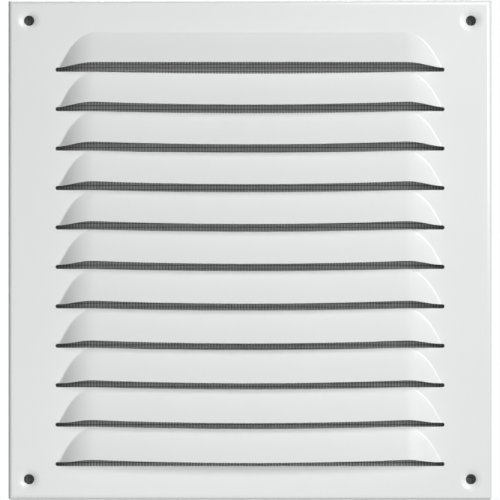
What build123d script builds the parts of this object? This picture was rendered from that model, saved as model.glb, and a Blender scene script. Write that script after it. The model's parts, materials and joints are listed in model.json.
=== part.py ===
"""Weather grille: a pressed louvre plate backed by an insect mesh. Millimetres, +Z up, front towards -Y."""

import os
from math import floor, hypot, radians, tan

from build123d import *

# Plate: one thin sheet with its edges turned back to the wall at y = 0
plate_width = 232.0
plate_height = 240.0
sheet = 0.8
rim_depth = 5.0
rim_bend = 2.7
corner_clip = 0.7

# Louvres: slits lanced in the sheet, with the strip above each slit pressed forward
louvre_count = 11
louvre_pitch = 18.9
lowest_slot = 16.4
slot_length = 186.5
slot_end = 2.0
slot_sag = 1.0
louvre_depth = 8.0
side_lean = 40.0
shoulder_bend = 22.0
foot_bend = 1.5
lip_rise = 3.95
lip_middle = 2.55
top_lip_middle = 3.85
lip_ease = 0.36

# Screw holes, each in a round dimple near a corner
screw_inset = 10.0
screw_hole = 5.0
dimple_width = 12.0
dimple_depth = 1.2

# Insect mesh: upright wires in front, level wires behind, on a thin wall with openings behind the slits
wire = 0.28
upright_pitch = 1.44
level_pitch = 1.82
mesh_wall = 0.16
mesh_margin = 3.0
openings_across = 7
opening_band = 5.5
gap_reach = 3.0

# Values that follow from the ones above
face_y = -rim_depth
back_y = face_y + sheet
slope = louvre_depth / (louvre_pitch - lip_rise)
arch_rise = slope * (louvre_pitch - slot_end) / hypot(1, slope)
arch_half = slot_length / 2 - slot_end / 2 - foot_bend / 2
arch_corner = arch_half - arch_rise / tan(radians(side_lean))
shoulder = arch_corner - shoulder_bend * tan(radians(side_lean / 2))
cell_half = slot_length / 2 + 2 * foot_bend
cell_foot = slot_end / 2
screw_x = plate_width / 2 - screw_inset
screw_z = plate_height / 2 - screw_inset
dish_mouth = dimple_width + 2 * wire
dish_patch = dish_mouth + 2 * wire
slots = [lowest_slot - plate_height / 2 + i * louvre_pitch for i in range(louvre_count)]


def tray(width, height, depth, bend):
    """A solid block with its back on the wall plane and its four front edges rounded."""
    block = Pos(0, -depth / 2, 0) * Box(width, depth, height)
    return fillet(block.edges().group_by(Axis.Y)[0], bend)


def louvre_cell(height):
    """The sheet of one louvre, from half way up its slit, with the slit's lower edge at z = 0."""
    block = 2 * louvre_depth
    top = louvre_pitch + 2 * foot_bend
    slab = Pos(0, block / 2, (cell_foot + top) / 2) * Box(2 * cell_half, block, top - cell_foot)

    # An arch with round shoulders, run up and back along the slat's slope until it sinks into the face
    along = Plane(origin=(0, 0, slot_end), x_dir=(1, 0, 0), z_dir=(0, slope, 1))
    spread = arch_half + slot_end / tan(radians(side_lean))
    arch = Polygon(
        (-spread, slot_end),
        (-arch_corner, -arch_rise),
        (arch_corner, -arch_rise),
        (spread, slot_end),
        align=None,
    )
    arch = fillet(arch.vertices().group_by(Axis.Y)[0], shoulder_bend)
    run = (louvre_pitch + foot_bend) * hypot(1, slope)
    hood = extrude(along.offset(-louvre_depth) * arch, amount=run + louvre_depth)
    hood = split(hood, bisect_by=Plane.XY.offset(cell_foot), keep=Keep.TOP)
    hood = split(hood, bisect_by=Plane.XY.offset(top), keep=Keep.BOTTOM)
    form = slab + hood

    # The line where the louvre rises out of the face is soft in front and sharp behind
    on_face = form.edges().filter_by_position(Axis.Y, -0.001, 0.001)
    foot = on_face.filter_by(lambda e: abs(e.center().X) < arch_half and cell_foot < e.center().Z < top)
    skin = fillet(foot, foot_bend) - Pos(0, sheet, 0) * form
    keep = Pos(0, 0, (cell_foot + height) / 2) * Box(2 * cell_half, 4 * block, height - cell_foot)
    return skin & keep


def slot_prism(sag, middle):
    """The opening of one slit seen from the front: sagging lower edge, round ends and the lip above."""
    end = slot_length / 2 - slot_end / 2
    fall = (lip_rise - middle) * 2 / shoulder
    swing = (end - shoulder) * lip_ease
    rim = []
    for side in (-1, 1):
        tip = side * (end + slot_end / 2)
        rim.append(Line((side * end, 0), (side * shoulder, 0)))
        rim.append(ThreePointArc((side * end, 0), (tip, slot_end / 2), (side * end, slot_end)))
        rim.append(
            Bezier(
                (side * end, slot_end),
                (side * (end - swing), slot_end),
                (side * (shoulder + swing), lip_rise + fall * swing),
                (side * shoulder, lip_rise),
            )
        )
    if sag > 0:
        rim.append(ThreePointArc((-shoulder, 0), (0, -sag), (shoulder, 0)))
    else:
        rim.append(Line((-shoulder, 0), (shoulder, 0)))
    rim.append(ThreePointArc((-shoulder, lip_rise), (0, middle), (shoulder, lip_rise)))
    return extrude(Plane.XZ * make_face(rim), amount=4 * louvre_depth, both=True)


def dimple_disc(radius):
    """A round piece of the face that sinks like a bell mouth to the screw hole."""
    hole = screw_hole / 2
    outer = dimple_width / 2
    section = [Line((hole, face_y + dimple_depth), (hole, back_y + dimple_depth))]
    for y in (face_y, back_y):
        section.append(TangentArc((outer, y), (hole, y + dimple_depth), tangent=(-1, 0)))
        section.append(Line((outer, y), (radius, y)))
    section.append(Line((radius, face_y), (radius, back_y)))
    return revolve(make_face(section), axis=Axis.Y)


def at_screws(shape):
    """Copies of a shape on the four screw axes."""
    return [Pos(x, 0, z) * shape for x in (-screw_x, screw_x) for z in (-screw_z, screw_z)]


def louvre_plate():
    """The plate: a shallow tray with pressed louvres, slits and screw dimples."""
    body = tray(plate_width, plate_height, rim_depth, rim_bend)
    body -= tray(plate_width - 2 * sheet, plate_height - 2 * sheet, rim_depth - sheet, rim_bend - sheet)

    # Windows in the face, filled by the pressed louvres
    top_height = louvre_pitch + 1.5 * foot_bend
    lower = louvre_cell(louvre_pitch)
    upper = louvre_cell(top_height)
    windows = []
    louvres = []
    for z in slots:
        height = top_height if z == slots[-1] else louvre_pitch
        window = Box(2 * cell_half, 4 * sheet, height - cell_foot)
        windows.append(Pos(0, face_y, z + (cell_foot + height) / 2) * window)
        louvres.append(Pos(0, face_y, z) * (upper if z == slots[-1] else lower))

    # Dimples for the screws
    reach = dimple_width / 2 + sheet / 2
    blank = Pos(0, face_y, 0) * Rot(90, 0, 0) * Cylinder(reach, 4 * sheet)
    body = body - windows - at_screws(blank)
    body = body + louvres + at_screws(dimple_disc(reach))

    # The slits cut the lips and the tops of the louvres below
    cuts = []
    for z in slots:
        sag = 0 if z == slots[0] else slot_sag
        middle = top_lip_middle if z == slots[-1] else lip_middle
        cuts.append(Pos(0, 0, z) * slot_prism(sag, middle))
    body -= cuts

    # The four corners are clipped by a hair
    clip = Rot(0, 45, 0) * Box(2 * corner_clip, 4 * rim_depth, 2 * corner_clip)
    for x in (-plate_width / 2, plate_width / 2):
        for z in (-plate_height / 2, plate_height / 2):
            body -= Pos(x, 0, z) * clip
    return body.clean()


def opening_columns():
    """The openings across the mesh, each as the numbers of its side wires, counted from the middle."""
    wires = 2 * (screw_x - dish_patch / 2) / upright_pitch - (openings_across - 1)
    width = 2 * floor(wires / openings_across / 2)
    first = -(openings_across * (width + 1) - 1) // 2
    return [(first + i * (width + 1), first + i * (width + 1) + width) for i in range(openings_across)]


def opening_rows():
    """The openings up the mesh, one behind each slit, each as the numbers of its lower and upper wires."""
    height = floor((louvre_pitch - opening_band) / level_pitch)
    feet = [floor((z - slot_sag) / level_pitch) for z in slots]
    return [(foot, foot + height) for foot in feet]


def ribbed_layer(length, span, pitch, openings):
    """One half of the mesh: a thin wall with a rib along it for each wire that crosses no opening."""
    last = floor((span / pitch - 1) / 2)
    wall = mesh_wall / 2
    points = [(-span / 2, 0), (-span / 2, wall)]
    for i in range(-last, last + 1):
        if not any(low < i < high for low, high in openings):
            middle = i * pitch
            points += [(middle - wire / 2, wall), (middle, wire), (middle + wire / 2, wall)]
    points += [(span / 2, wall), (span / 2, 0)]
    return extrude(make_face(Polyline(*points, close=True)), amount=length / 2, both=True)


def insect_mesh():
    """The mesh behind the plate, open behind the slits and the screw holes and pushed back by the dimples."""
    width = plate_width - 2 * mesh_margin
    height = plate_height - 2 * mesh_margin
    middle = back_y + wire
    columns = opening_columns()
    rows = opening_rows()

    # Upright wires face the plate, level wires face the wall
    uprights = Rot(0, 0, 180) * ribbed_layer(height, width, upright_pitch, columns)
    levels = Rot(0, -90, 0) * ribbed_layer(width, height, level_pitch, rows)
    body = Pos(0, middle, 0) * (uprights + levels)

    # A shallow square dish behind each dimple, in a patch of plain wall
    inset = dish_mouth / 2 - gap_reach - level_pitch / 2
    land = dish_mouth - inset
    pit = Wedge(dish_mouth, dimple_depth, dish_mouth, inset, inset, land, land)
    pit = Pos(0, middle + (dimple_depth - mesh_wall) / 2, 0) * pit
    dish = Pos(0, middle, 0) * Box(dish_patch, mesh_wall, dish_patch) + Pos(0, mesh_wall, 0) * pit - pit
    blank = Pos(0, middle, 0) * Box(dish_patch, 4 * sheet, dish_patch)
    body = body - at_screws(blank) + at_screws(dish)

    # Wide openings behind the slits, with a wire along each side
    cuts = []
    for left, right in columns:
        x = (left + right) / 2 * upright_pitch
        across = (right - left) * upright_pitch - 2 * wire
        for foot, head in rows:
            opening = Box(across, 4 * sheet, (head - foot) * level_pitch - 2 * wire)
            cuts.append(Pos(x, middle, (foot + head) / 2 * level_pitch) * opening)

    # Single gaps between the wires where the mesh shows in the screw holes
    gap = Box(upright_pitch - wire, 8 * sheet, level_pitch - wire)
    for i in range(floor(plate_width / upright_pitch / 2)):
        for j in range(floor(plate_height / level_pitch / 2)):
            x = (i + 0.5) * upright_pitch
            z = (j + 0.5) * level_pitch
            if hypot(x - screw_x, z - screw_z) < gap_reach:
                cuts += [Pos(u, middle, v) * gap for u in (-x, x) for v in (-z, z)]
    return (body - cuts).clean()


os.makedirs("parts", exist_ok=True)
export_step(louvre_plate(), "parts/louvre_plate.step")
export_step(insect_mesh(), "parts/insect_mesh.step")
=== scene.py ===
"""Weather grille: white coated louvre plate with a dark woven insect mesh behind it."""

import json
import math

import bpy
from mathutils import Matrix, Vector

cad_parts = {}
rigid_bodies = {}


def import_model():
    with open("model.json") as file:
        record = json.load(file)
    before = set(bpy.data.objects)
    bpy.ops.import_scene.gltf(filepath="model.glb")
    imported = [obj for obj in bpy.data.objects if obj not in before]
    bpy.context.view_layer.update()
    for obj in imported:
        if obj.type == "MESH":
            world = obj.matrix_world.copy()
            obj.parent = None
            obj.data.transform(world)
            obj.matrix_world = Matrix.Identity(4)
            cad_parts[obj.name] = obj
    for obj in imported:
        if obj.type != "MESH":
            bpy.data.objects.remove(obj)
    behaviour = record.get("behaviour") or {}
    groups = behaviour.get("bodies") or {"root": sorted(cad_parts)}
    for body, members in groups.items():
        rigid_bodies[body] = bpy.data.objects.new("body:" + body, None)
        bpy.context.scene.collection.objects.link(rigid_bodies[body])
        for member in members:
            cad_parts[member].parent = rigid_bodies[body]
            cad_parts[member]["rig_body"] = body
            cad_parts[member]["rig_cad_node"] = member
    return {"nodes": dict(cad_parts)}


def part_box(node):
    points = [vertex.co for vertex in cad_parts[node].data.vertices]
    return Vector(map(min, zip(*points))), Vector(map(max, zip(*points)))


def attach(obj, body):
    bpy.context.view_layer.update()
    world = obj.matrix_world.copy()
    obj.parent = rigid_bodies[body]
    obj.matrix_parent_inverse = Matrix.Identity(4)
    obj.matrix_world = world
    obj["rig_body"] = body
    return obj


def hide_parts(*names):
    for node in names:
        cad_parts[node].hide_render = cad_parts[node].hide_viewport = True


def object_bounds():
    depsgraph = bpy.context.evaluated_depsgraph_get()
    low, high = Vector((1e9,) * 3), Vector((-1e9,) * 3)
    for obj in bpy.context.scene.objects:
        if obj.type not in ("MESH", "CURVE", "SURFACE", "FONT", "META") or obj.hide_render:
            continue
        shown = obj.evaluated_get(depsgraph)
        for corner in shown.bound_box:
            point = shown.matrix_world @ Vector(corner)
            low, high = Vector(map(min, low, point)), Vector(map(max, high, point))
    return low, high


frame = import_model()
CAD_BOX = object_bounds()
PLATE_LOW, PLATE_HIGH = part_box("louvre_plate")
MESH_LOW, MESH_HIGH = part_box("insect_mesh")

bl_info = {
    "name": "Weather Grille",
    "version": (1, 0, 0),
    "blender": (4, 5, 0),
    "location": "View3D > Sidebar > Grille",
    "description": "Dresses the weather grille: coated louvre plate, woven insect mesh and a studio stage",
    "category": "Object",
}

RIGHT = (1, 0, 0)
UP = (0, 0, 1)
FACING_FRONT = (math.radians(90), 0, 0)

# Plate: what is welded, what counts as flat, and which edges are cut edges
WELD_DISTANCE = 0.000002
FLAT_ANGLE = math.radians(0.4)
CUT_EDGE_ANGLE = math.radians(45)
CUT_EDGE_STEPS = 2

# Coat: slow drift of tone and gloss, and a fine ripple
COAT_CLOUD = {"Scale": 22.0, "Detail": 3.0, "Roughness": 0.5}
COAT_PEEL = {"Detail": 2.0, "Roughness": 0.45}
COAT_TONES = (0.985, 1.012)
COAT_GLOSS_DRIFT = 0.08
COAT_IOR = 1.5

# Yarn: drift of tone and gloss along the wires
YARN_CLOUD = {"Scale": 160.0, "Detail": 3.0, "Roughness": 0.6}
YARN_TONES = (0.7, 1.35)
YARN_ROUGHNESS = 0.62
YARN_GLOSS_DRIFT = 0.2
YARN_IOR = 1.4

# Weave: sides of a wire, crossings that stand past the outline until the trim, joints and wander
WIRE_SIDES = 4
SPARE_CROSSINGS = 2
JOIN_DISTANCE = 0.00001
WANDER_SIZE = 0.022

# Dish behind each screw dimple: radius of its flat bottom and of its rim
DISH_FLAT = 0.0034
DISH_RIM = 0.0066

# Stage: each lamp's distance, its degrees to the right of the camera and above it, and its size
KEY_LAMP = {"distance": 2.0, "right": 32, "up": 20, "width": 0.53, "height": 1.0}
LOW_LAMP = {"distance": 0.7, "right": -20, "up": -30, "width": 0.6, "height": 0.6}
REAR_LAMP = {"distance": 1.5, "right": 205, "up": 48, "width": 1.0, "height": 1.0}
FLOOR_SIZE = 8.0
FLOOR_GREY = 0.9
SENSOR_WIDTH = 36.0


class GrillePlateSettings(bpy.types.PropertyGroup):
    """Finish of the pressed louvre plate"""

    edge_round: bpy.props.FloatProperty(
        name="Edge round",
        description="Radius of the coating over the cut edges",
        default=0.00016,
        unit="LENGTH",
    )
    crease: bpy.props.FloatProperty(
        name="Crease",
        description="Bends sharper than this stay crisp",
        default=math.radians(38),
        subtype="ANGLE",
    )
    coat_colour: bpy.props.FloatVectorProperty(
        name="Coat",
        description="Colour of the white powder coat",
        default=(0.832, 0.848, 0.845),
        subtype="COLOR",
    )
    coat_roughness: bpy.props.FloatProperty(
        name="Coat roughness",
        description="Roughness of the coat",
        default=0.33,
        subtype="FACTOR",
    )
    peel_size: bpy.props.FloatProperty(
        name="Peel size",
        description="Width of one ripple in the coat",
        default=0.0011,
        unit="LENGTH",
    )
    peel_depth: bpy.props.FloatProperty(
        name="Peel depth",
        description="Height of the ripples in the coat",
        default=0.000004,
        unit="LENGTH",
    )


class GrilleMeshSettings(bpy.types.PropertyGroup):
    """Weave of the insect mesh"""

    wire: bpy.props.FloatProperty(
        name="Wire",
        description="Thickness of one wire",
        default=0.00028,
        unit="LENGTH",
    )
    upright_pitch: bpy.props.FloatProperty(
        name="Upright pitch",
        description="Distance between upright wires",
        default=0.00144,
        unit="LENGTH",
    )
    level_pitch: bpy.props.FloatProperty(
        name="Level pitch",
        description="Distance between level wires",
        default=0.00182,
        unit="LENGTH",
    )
    wave: bpy.props.FloatProperty(
        name="Wave",
        description="How far the wires wander from straight lines",
        default=0.0002,
        unit="LENGTH",
    )
    dish_depth: bpy.props.FloatProperty(
        name="Dish depth",
        description="How far the screw dimples push the mesh back",
        default=0.0012,
        unit="LENGTH",
    )
    screw_x: bpy.props.FloatProperty(
        name="Screw X",
        description="Screw holes from the middle, across",
        default=0.106,
        unit="LENGTH",
    )
    screw_z: bpy.props.FloatProperty(
        name="Screw Z",
        description="Screw holes from the middle, up",
        default=0.110,
        unit="LENGTH",
    )
    wire_colour: bpy.props.FloatVectorProperty(
        name="Wire colour",
        description="Colour of the coated yarn",
        default=(0.014, 0.015, 0.013),
        subtype="COLOR",
    )


class GrilleStageSettings(bpy.types.PropertyGroup):
    """Studio round the grille"""

    camera_distance: bpy.props.FloatProperty(
        name="Camera distance",
        description="Camera to the plate's face",
        default=0.91,
        unit="LENGTH",
    )
    frame_width: bpy.props.FloatProperty(
        name="Frame width",
        description="Width seen at the plate's face",
        default=0.2395,
        unit="LENGTH",
    )
    face_y: bpy.props.FloatProperty(
        name="Face",
        description="Place of the plate's flat face",
        default=-0.005,
        unit="LENGTH",
    )
    key_power: bpy.props.FloatProperty(
        name="Key",
        description="Power of the tall soft light at the right",
        default=34.6,
        unit="POWER",
    )
    low_power: bpy.props.FloatProperty(
        name="Low light",
        description="Power of the soft light close below",
        default=1.2,
        unit="POWER",
    )
    rear_power: bpy.props.FloatProperty(
        name="Rear light",
        description="Power of the soft light behind the grille",
        default=24.0,
        unit="POWER",
    )
    fill_strength: bpy.props.FloatProperty(
        name="Fill",
        description="Strength of the even light all round",
        default=0.01,
    )
    board_inset: bpy.props.FloatProperty(
        name="Board inset",
        description="Distance of the grey board inside the rim",
        default=0.0004,
        unit="LENGTH",
    )
    board_share: bpy.props.FloatProperty(
        name="Board share",
        description="Size of the board, as a share of the plate",
        default=0.99,
        subtype="FACTOR",
    )
    # The board's middle is plain grey lit through the slits; its darker sides are painted shade behind the
    # screw holes
    board_middle: bpy.props.FloatProperty(
        name="Board middle",
        description="Grey of the board behind the slits",
        default=0.74,
        subtype="FACTOR",
    )
    board_painted_shade: bpy.props.FloatProperty(
        name="Board side",
        description="Grey of the board behind the screw holes",
        default=0.16,
        subtype="FACTOR",
    )
    middle_half: bpy.props.FloatProperty(
        name="Middle half",
        description="Half the width of the board's pale middle",
        default=0.074,
        unit="LENGTH",
    )
    painted_shade_start: bpy.props.FloatProperty(
        name="Side start",
        description="Where the board's darker sides start",
        default=0.094,
        unit="LENGTH",
    )
    floor_drop: bpy.props.FloatProperty(
        name="Floor drop",
        description="Height of the grille above the floor",
        default=1.8,
        unit="LENGTH",
    )


class Socket:
    """A shader value that takes part in Python sums"""

    def __init__(self, sheet, socket):
        self.sheet = sheet
        self.socket = socket

    def _sum(self, operation, *values):
        return self.sheet.node("ShaderNodeMath", {"operation": operation}, dict(enumerate(values)))

    def __add__(self, other):
        return self._sum("ADD", self, other)

    def __radd__(self, other):
        return self._sum("ADD", other, self)

    def __sub__(self, other):
        return self._sum("SUBTRACT", self, other)

    def __rsub__(self, other):
        return self._sum("SUBTRACT", other, self)

    def __mul__(self, other):
        return self._sum("MULTIPLY", self, other)

    def __rmul__(self, other):
        return self._sum("MULTIPLY", other, self)

    def __abs__(self):
        return self._sum("ABSOLUTE", self)


class NodeSheet:
    """The node tree of one material or world"""

    def __init__(self, tree):
        self.tree = tree
        self.tree.nodes.clear()

    def node(self, kind, settings=None, inputs=None, output=0):
        """Add a node, set it up, fill or link its sockets and give back one of its outputs"""
        made = self.tree.nodes.new(kind)
        for name, value in (settings or {}).items():
            setattr(made, name, value)
        for name, value in (inputs or {}).items():
            if isinstance(value, Socket):
                self.tree.links.new(value.socket, made.inputs[name])
            else:
                made.inputs[name].default_value = value
        return Socket(self, made.outputs[output]) if made.outputs else None


def select_only(piece):
    """Make one piece the whole selection"""
    bpy.ops.object.select_all(action="DESELECT")
    piece.select_set(True)
    bpy.context.view_layer.objects.active = piece


def named_piece(name):
    """The piece that an operator has just made, under its own name"""
    piece = bpy.context.view_layer.objects.active
    piece.name = name
    piece.data.name = name
    return piece


def add_modifier(piece, kind, **settings):
    """Add one modifier with its settings and apply it"""
    select_only(piece)
    bpy.ops.object.modifier_add(type=kind)
    modifier = piece.modifiers[-1]
    for name, value in settings.items():
        setattr(modifier, name, value)
    bpy.ops.object.modifier_apply(modifier=modifier.name)


def repeat_piece(piece, count, step, **joining):
    """Copy a piece in a row, one step apart"""
    add_modifier(
        piece,
        "ARRAY",
        count=count,
        use_relative_offset=False,
        use_constant_offset=True,
        constant_offset_displace=step,
        **joining,
    )


def new_material(name):
    """An empty material and the sheet for its nodes"""
    material = bpy.data.materials.new(name)
    material.use_nodes = True
    return material, NodeSheet(material.node_tree)


def set_material(piece, material):
    """Give a piece one material all over"""
    piece.data.materials.clear()
    piece.data.materials.append(material)


def grey(level):
    """A neutral colour"""
    return (level, level, level, 1.0)


def colour_between(sheet, share, low, high):
    """A colour that goes from low to high as the share goes from 0 to 1"""
    return sheet.node("ShaderNodeMix", {"data_type": "RGBA"}, {0: share, 6: low, 7: high}, output=2)


def mottled(sheet, cloud, colour, tones):
    """A colour that drifts between a darker and a lighter tone of itself"""
    low, high = [tuple(part * tone for part in colour) + (1.0,) for tone in tones]
    return colour_between(sheet, cloud, low, high)


def backdrop_share(sheet):
    """1 for the rays that see the white surroundings: the camera's and those off gloss or through glass"""
    camera = sheet.node("ShaderNodeLightPath", output="Is Camera Ray")
    glossy = sheet.node("ShaderNodeLightPath", output="Is Glossy Ray")
    through = sheet.node("ShaderNodeLightPath", output="Is Transmission Ray")
    return camera + glossy + through


def white_coat(settings):
    """Glossy white powder coat with a faint orange peel"""
    material, sheet = new_material("white_powder_coat")
    place = sheet.node("ShaderNodeTexCoord", output="Object")
    cloud = sheet.node("ShaderNodeTexNoise", inputs={"Vector": place, **COAT_CLOUD})
    peel = sheet.node(
        "ShaderNodeTexNoise",
        inputs={"Vector": place, "Scale": 1.0 / settings.peel_size, **COAT_PEEL},
    )
    ripple = sheet.node(
        "ShaderNodeBump",
        inputs={"Strength": 1.0, "Distance": settings.peel_depth, "Height": peel},
    )
    shade = sheet.node(
        "ShaderNodeBsdfPrincipled",
        inputs={
            "Base Color": mottled(sheet, cloud, settings.coat_colour, COAT_TONES),
            "Roughness": cloud * COAT_GLOSS_DRIFT + (settings.coat_roughness - COAT_GLOSS_DRIFT / 2),
            "IOR": COAT_IOR,
            "Normal": ripple,
        },
    )
    sheet.node("ShaderNodeOutputMaterial", inputs={"Surface": shade})
    return material


def mesh_yarn(settings):
    """Matt charcoal coating of the screen's yarn"""
    material, sheet = new_material("charcoal_yarn")
    place = sheet.node("ShaderNodeTexCoord", output="Object")
    cloud = sheet.node("ShaderNodeTexNoise", inputs={"Vector": place, **YARN_CLOUD})
    shade = sheet.node(
        "ShaderNodeBsdfPrincipled",
        inputs={
            "Base Color": mottled(sheet, cloud, settings.wire_colour, YARN_TONES),
            "Roughness": YARN_ROUGHNESS + cloud * YARN_GLOSS_DRIFT,
            "IOR": YARN_IOR,
        },
    )
    sheet.node("ShaderNodeOutputMaterial", inputs={"Surface": shade})
    return material


class GRILLE_OT_coat_plate(bpy.types.Operator):
    """Round the cut edges of the pressed plate and coat it white"""

    bl_idname = "grille.coat_plate"
    bl_label = "Coat Louvre Plate"

    def execute(self, context):
        settings = context.scene.grille_plate

        # A copy of the CAD plate, without the CAD node's tags
        select_only(frame["nodes"]["louvre_plate"])
        bpy.ops.object.duplicate()
        plate = named_piece("coated_plate")
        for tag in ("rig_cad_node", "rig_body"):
            if tag in plate:
                del plate[tag]
        plate.parent = None

        # Weld the facets, then round the cut edges of the sheet
        bpy.ops.object.mode_set(mode="EDIT")
        bpy.ops.mesh.select_all(action="SELECT")
        bpy.ops.mesh.remove_doubles(threshold=WELD_DISTANCE)
        bpy.ops.mesh.customdata_custom_splitnormals_clear()
        bpy.ops.mesh.dissolve_limited(angle_limit=FLAT_ANGLE)
        bpy.ops.mesh.select_all(action="DESELECT")
        bpy.ops.mesh.edges_select_sharp(sharpness=CUT_EDGE_ANGLE)
        bpy.ops.mesh.bevel(
            offset=settings.edge_round,
            segments=CUT_EDGE_STEPS,
            profile=0.5,
            clamp_overlap=True,
        )
        bpy.ops.mesh.select_all(action="SELECT")
        bpy.ops.mesh.quads_convert_to_tris(quad_method="BEAUTY", ngon_method="BEAUTY")
        bpy.ops.object.mode_set(mode="OBJECT")
        bpy.ops.object.shade_smooth_by_angle(angle=settings.crease)
        add_modifier(plate, "WEIGHTED_NORMAL", mode="FACE_AREA", weight=50, keep_sharp=True)

        set_material(plate, white_coat(settings))
        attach(plate, "root")
        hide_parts("louvre_plate")
        return {"FINISHED"}


class GRILLE_OT_weave_mesh(bpy.types.Operator):
    """Weave the insect mesh from upright and level wires"""

    bl_idname = "grille.weave_mesh"
    bl_label = "Weave Insect Mesh"

    def execute(self, context):
        settings = context.scene.grille_mesh
        yarn = mesh_yarn(settings)
        upright = settings.upright_pitch
        level = settings.level_pitch
        uprights = self.wires("upright_wires", settings, RIGHT, upright, UP, level, 1)
        levels = self.wires("level_wires", settings, UP, level, RIGHT, upright, -1)
        for piece in (uprights, levels):
            self.dish(piece, settings)
            select_only(piece)
            bpy.ops.object.shade_smooth()
            set_material(piece, yarn)
            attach(piece, "root")
            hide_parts("insect_mesh")
        return {"FINISHED"}

    def wires(self, name, settings, across, pitch, along, crossing, phase):
        """One family of wires: a pair of kinked lengths, repeated along the wire and then across the mesh"""
        half_across = math.floor(MESH_HIGH.dot(Vector(across)) / pitch)
        half_along = math.ceil(MESH_HIGH.dot(Vector(along)) / crossing)
        half_along += half_along % 2 + SPARE_CROSSINGS

        # The two families start on opposite sides of the weave, so that they pass over and under
        swing = settings.wire / 2 * phase * (-1) ** half_across
        start = [-across[i] * pitch * half_across - along[i] * crossing * half_along for i in range(3)]
        start[1] = MESH_LOW.y + settings.wire - swing

        # One ring, drawn out over two crossings, and its neighbour half a step along
        turn = (0, 0, 0) if along == UP else (0, math.radians(90), 0)
        bpy.ops.object.select_all(action="DESELECT")
        bpy.ops.mesh.primitive_circle_add(
            vertices=WIRE_SIDES,
            radius=settings.wire / 2,
            location=start,
            rotation=turn,
        )
        piece = named_piece(name)
        bpy.ops.object.transform_apply(location=True, rotation=True, scale=True)
        bpy.ops.object.mode_set(mode="EDIT")
        bpy.ops.mesh.select_all(action="SELECT")
        for side in (2, -2):
            step = (along[0] * crossing, side * swing, along[2] * crossing)
            bpy.ops.mesh.extrude_region_move(TRANSFORM_OT_translate={"value": step})
        bpy.ops.mesh.select_all(action="SELECT")
        step = [across[i] * pitch + along[i] * crossing for i in range(3)]
        bpy.ops.mesh.duplicate_move(TRANSFORM_OT_translate={"value": step})
        bpy.ops.object.mode_set(mode="OBJECT")
        repeat_piece(
            piece,
            half_along,
            [a * crossing * 2 for a in along],
            use_merge_vertices=True,
            merge_threshold=JOIN_DISTANCE,
        )
        repeat_piece(piece, half_across + 1, [a * pitch * 2 for a in across])

        # Real screen isn't quite straight: let the wires wander a little
        drift = bpy.data.textures.new(name + "_drift", "CLOUDS")
        drift.noise_scale = WANDER_SIZE
        drift.noise_depth = 1
        add_modifier(
            piece,
            "DISPLACE",
            texture=drift,
            texture_coords="LOCAL",
            direction="X" if across == RIGHT else "Z",
            mid_level=0.5,
            strength=settings.wave,
        )

        # Trim to the outline of the mesh and close the cut ends
        bpy.ops.object.mode_set(mode="EDIT")
        for axis in (RIGHT, UP):
            for corner, sign in ((MESH_LOW, -1), (MESH_HIGH, 1)):
                bpy.ops.mesh.select_all(action="SELECT")
                bpy.ops.mesh.bisect(
                    plane_co=corner,
                    plane_no=[a * sign for a in axis],
                    clear_outer=True,
                    use_fill=False,
                )
        bpy.ops.mesh.select_all(action="DESELECT")
        bpy.ops.mesh.select_non_manifold(
            use_wire=False,
            use_multi_face=False,
            use_non_contiguous=False,
            use_verts=False,
        )
        bpy.ops.mesh.edge_face_add()
        bpy.ops.mesh.select_all(action="SELECT")
        bpy.ops.mesh.normals_make_consistent(inside=False)
        bpy.ops.object.mode_set(mode="OBJECT")
        return piece

    def dish(self, piece, settings):
        """Push the mesh back behind the four screw dimples"""
        for vertex in piece.data.vertices:
            off_x = abs(vertex.co.x) - settings.screw_x
            off_z = abs(vertex.co.z) - settings.screw_z
            reach = math.hypot(off_x, off_z)
            if reach < DISH_RIM:
                ease = min(1.0, (DISH_RIM - reach) / (DISH_RIM - DISH_FLAT))
                vertex.co.y += settings.dish_depth * ease


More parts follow.
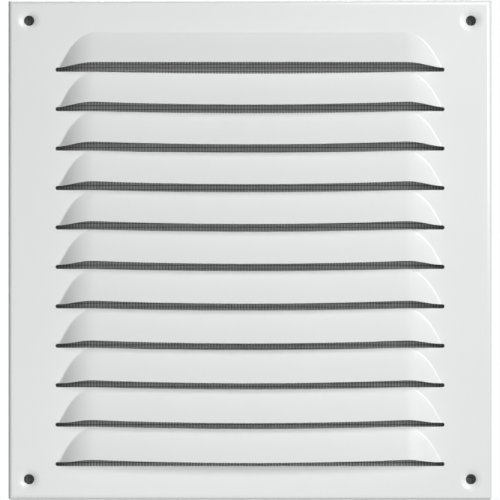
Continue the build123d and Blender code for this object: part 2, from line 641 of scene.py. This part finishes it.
class GRILLE_OT_build_stage(bpy.types.Operator):
    """Set up the floor, the board, the lights and the camera"""

    bl_idname = "grille.build_stage"
    bl_label = "Build Stage"

    def execute(self, context):
        settings = context.scene.grille_stage
        scene = context.scene
        scene.view_settings.view_transform = "Standard"

        # Floor
        bpy.ops.object.select_all(action="DESELECT")
        bpy.ops.mesh.primitive_plane_add(
            size=FLOOR_SIZE,
            location=(0, 0, CAD_BOX[0].z - settings.floor_drop),
        )
        floor = named_piece("floor")
        set_material(floor, self.pale_floor())

        # Grey board just inside the rim, seen through the slits and the screw holes, only from the front;
        # its darker sides are painted shade behind the screw holes
        bpy.ops.object.select_all(action="DESELECT")
        bpy.ops.mesh.primitive_plane_add(
            size=1.0,
            location=(0, -settings.board_inset, 0),
            rotation=FACING_FRONT,
        )
        board = named_piece("board")
        bpy.ops.transform.resize(value=(PLATE_HIGH - PLATE_LOW) * settings.board_share)
        bpy.ops.object.transform_apply(location=False, rotation=True, scale=True)
        set_material(board, self.board_with_painted_shade(settings))

        # Camera straight in front
        bpy.ops.object.camera_add(
            location=(0, settings.face_y - settings.camera_distance, 0),
            rotation=FACING_FRONT,
        )
        camera = context.view_layer.objects.active
        camera.data.sensor_width = SENSOR_WIDTH
        camera.data.lens = SENSOR_WIDTH * settings.camera_distance / settings.frame_width
        scene.camera = camera

        # Tall soft key at the right, a soft light close below and one for the back
        self.lamp("key", settings.key_power, **KEY_LAMP)
        self.lamp("low", settings.low_power, **LOW_LAMP)
        self.lamp("rear", settings.rear_power, **REAR_LAMP)
        scene.world = self.white_studio(settings)
        return {"FINISHED"}

    def lamp(self, name, power, distance, right, up, width, height):
        """A soft light that faces the grille, placed by degrees to the right of and above the camera"""
        turn = math.radians(right)
        tilt = math.radians(up)
        place = Vector((math.sin(turn) * math.cos(tilt), -math.cos(turn) * math.cos(tilt), math.sin(tilt)))
        bpy.ops.object.light_add(type="AREA", location=place * distance)
        light = named_piece(name)
        light.data.shape = "RECTANGLE"
        light.data.size = width
        light.data.size_y = height
        light.data.energy = power
        light.rotation_euler = place.to_track_quat("Z", "Y").to_euler()

    def white_studio(self, settings):
        """A world that gives even fill from all round and is white to the camera"""
        world = bpy.data.worlds.new("studio")
        world.use_nodes = True
        sheet = NodeSheet(world.node_tree)
        seen = backdrop_share(sheet)
        even = sheet.node(
            "ShaderNodeBackground",
            inputs={"Color": grey(1.0), "Strength": settings.fill_strength},
        )
        white = sheet.node("ShaderNodeBackground", inputs={"Color": grey(1.0), "Strength": 1.0})
        mixed = sheet.node("ShaderNodeMixShader", inputs={0: seen, 1: even, 2: white})
        sheet.node("ShaderNodeOutputWorld", inputs={"Surface": mixed})
        return world

    def pale_floor(self):
        """White to the camera, pale grey to the light"""
        material, sheet = new_material("pale_floor")
        seen = backdrop_share(sheet)
        lit = sheet.node("ShaderNodeBsdfDiffuse", inputs={"Color": grey(FLOOR_GREY)})
        white = sheet.node("ShaderNodeEmission", inputs={"Color": grey(1.0), "Strength": 1.0})
        face = sheet.node("ShaderNodeMixShader", inputs={0: seen, 1: lit, 2: white})
        sheet.node("ShaderNodeOutputMaterial", inputs={"Surface": face})
        return material

    def board_with_painted_shade(self, settings):
        """Matt grey lit through the slits, with darker sides painted as shade behind the screw holes, clear
        from behind and to the lights
        """
        material, sheet = new_material("board_with_painted_shade")
        behind = sheet.node("ShaderNodeNewGeometry", output="Backfacing")
        seen = sheet.node("ShaderNodeLightPath", output="Is Camera Ray")
        place = sheet.node("ShaderNodeTexCoord", output="Object")
        across = sheet.node("ShaderNodeSeparateXYZ", inputs={0: place}, output="X")
        # Painted shade: the board turns darker grey towards its sides, behind the screw holes
        side = sheet.node(
            "ShaderNodeMapRange",
            {"interpolation_type": "SMOOTHSTEP"},
            {"Value": abs(across), "From Min": settings.middle_half, "From Max": settings.painted_shade_start},
        )
        shade = colour_between(sheet, side, grey(settings.board_middle), grey(settings.board_painted_shade))
        lit = sheet.node("ShaderNodeBsdfDiffuse", inputs={"Color": shade})
        clear = sheet.node("ShaderNodeBsdfTransparent", inputs={"Color": grey(1.0)})
        face = sheet.node("ShaderNodeMixShader", inputs={0: seen * (1 - behind), 1: clear, 2: lit})
        sheet.node("ShaderNodeOutputMaterial", inputs={"Surface": face})
        return material


class GRILLE_PT_sidebar(bpy.types.Panel):
    """Lists the steps that dress the grille"""

    bl_idname = "GRILLE_PT_sidebar"
    bl_label = "Weather Grille"
    bl_space_type = "VIEW_3D"
    bl_region_type = "UI"
    bl_category = "Grille"

    def draw(self, context):
        scene = context.scene
        for operator, settings in (
            ("grille.coat_plate", scene.grille_plate),
            ("grille.weave_mesh", scene.grille_mesh),
            ("grille.build_stage", scene.grille_stage),
        ):
            box = self.layout.box()
            box.operator(operator)
            for name in settings.__annotations__:
                box.prop(settings, name)


CLASSES = (
    GrillePlateSettings,
    GrilleMeshSettings,
    GrilleStageSettings,
    GRILLE_OT_coat_plate,
    GRILLE_OT_weave_mesh,
    GRILLE_OT_build_stage,
    GRILLE_PT_sidebar,
)


def register():
    for made in CLASSES:
        bpy.utils.register_class(made)
    bpy.types.Scene.grille_plate = bpy.props.PointerProperty(type=GrillePlateSettings)
    bpy.types.Scene.grille_mesh = bpy.props.PointerProperty(type=GrilleMeshSettings)
    bpy.types.Scene.grille_stage = bpy.props.PointerProperty(type=GrilleStageSettings)


def unregister():
    del bpy.types.Scene.grille_stage
    del bpy.types.Scene.grille_mesh
    del bpy.types.Scene.grille_plate
    for made in reversed(CLASSES):
        bpy.utils.unregister_class(made)


def main():
    register()
    bpy.ops.grille.coat_plate()
    bpy.ops.grille.weave_mesh()
    bpy.ops.grille.build_stage()


if __name__ == "__main__":
    main()
